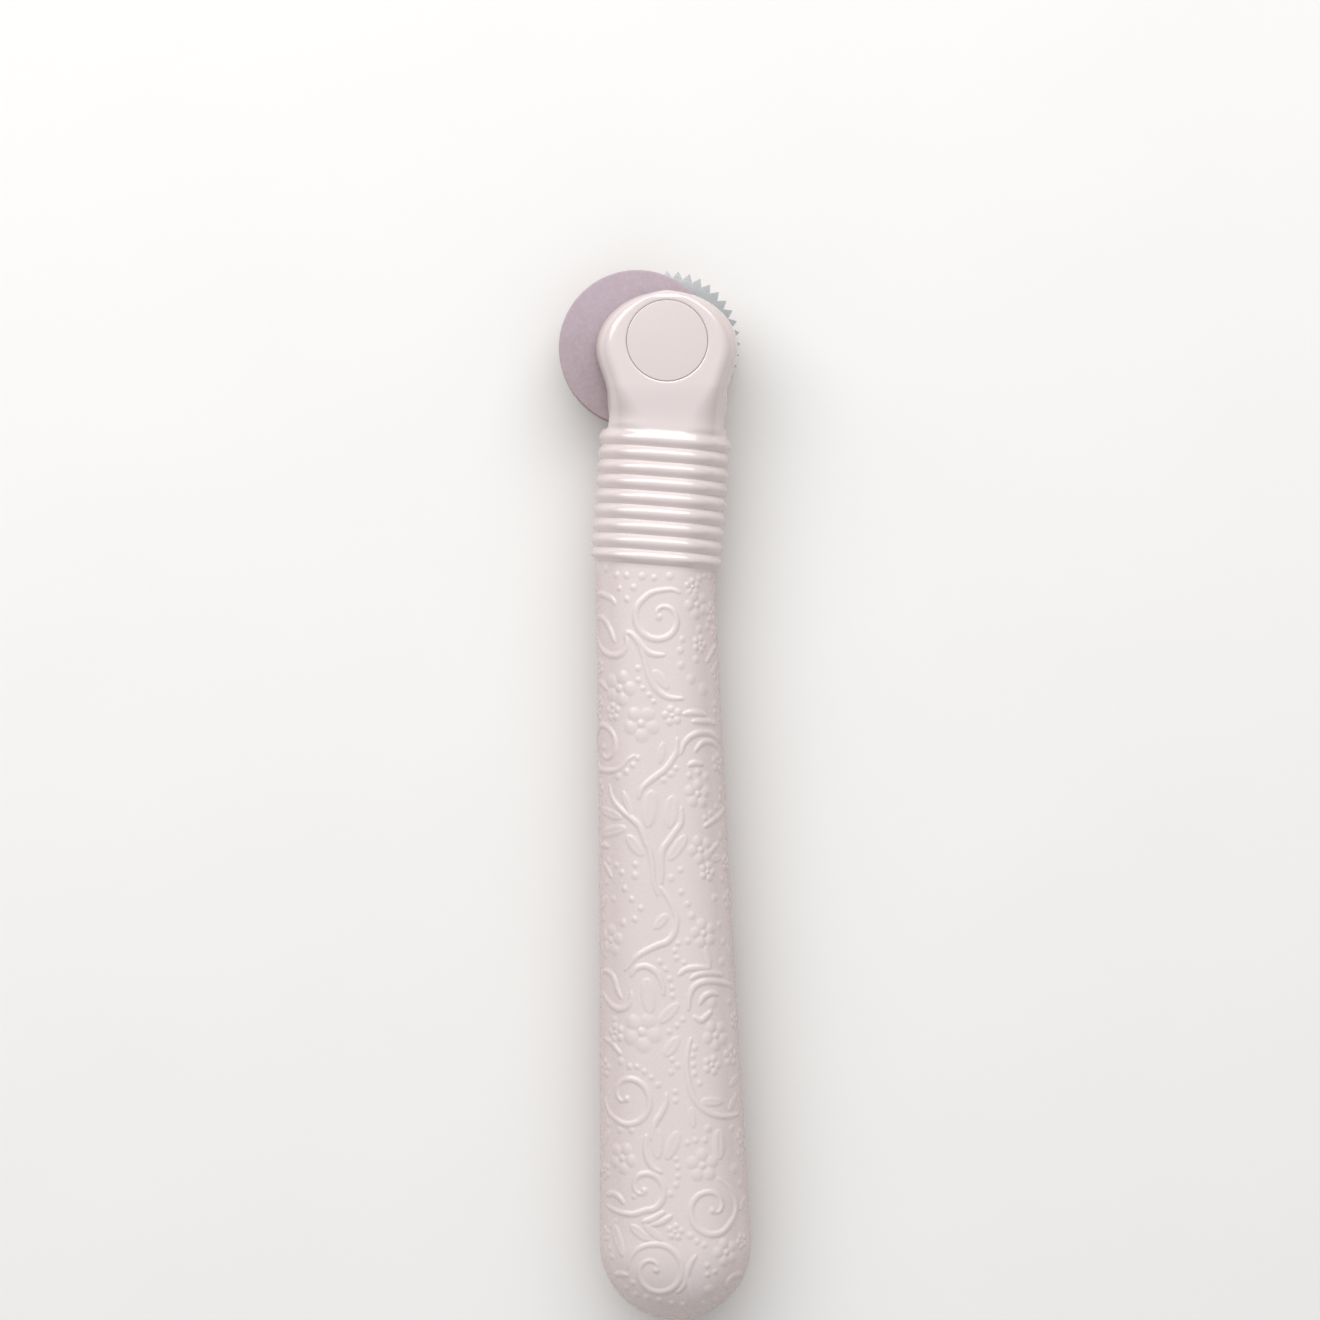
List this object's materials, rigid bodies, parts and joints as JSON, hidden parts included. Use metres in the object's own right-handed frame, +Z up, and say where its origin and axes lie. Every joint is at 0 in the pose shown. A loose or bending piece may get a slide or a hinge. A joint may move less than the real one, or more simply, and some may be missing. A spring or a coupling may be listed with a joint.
{
  "type": "marking wheel",
  "caption": "Tracing wheel for marking fabric: a serrated wheel spins in a forked plastic head beside a swinging guard, on a bowed handle with finger ribs and embossed scrollwork.",
  "frame": {"origin": "bottom centre of the whole tool's box, on the surface that the tool lies on", "axes": "+Y along the handle from the butt towards the wheel, +Z up out of the front face along the wheel's axle, +X to the right seen from the front"},
  "size_m": [0.0262, 0.143, 0.0147],
  "materials": {
    "handle_plastic": "satin pale lilac, embossed grip and glossier head",
    "cap_plastic": "smooth pale lilac",
    "guard_plastic": "frosted mauve",
    "wheel_steel": "stamped and polished",
    "hub_nylon": "natural nylon",
    "pin_steel": "turned",
    "spring_steel": "spring temper, dull"
  },
  "bodies": {
    "handle": {"front_shell": "handle_plastic", "rear_shell": "handle_plastic", "front_axle_cap": "cap_plastic", "rear_axle_cap": "cap_plastic", "axle_pin": "pin_steel", "axle_clip": "spring_steel", "front_wave_washer": "spring_steel", "rear_wave_washer": "spring_steel"},
    "wheel": {"tracing_wheel": "wheel_steel", "wheel_hub": "hub_nylon"},
    "guard": {"wheel_guard": "guard_plastic"}
  },
  "joints": [
    {"name": "wheel_spin", "type": "hinge", "parent": "handle", "child": "wheel", "pos_m": [0.00155, 0.06149, 0.00735], "axis": [0, 0, 1], "continuous": true},
    {"name": "guard_swing", "type": "hinge", "parent": "handle", "child": "guard", "pos_m": [0.00155, 0.06149, 0.00735], "axis": [0, 0, -1], "range_deg": [0, 100]}
  ]
}
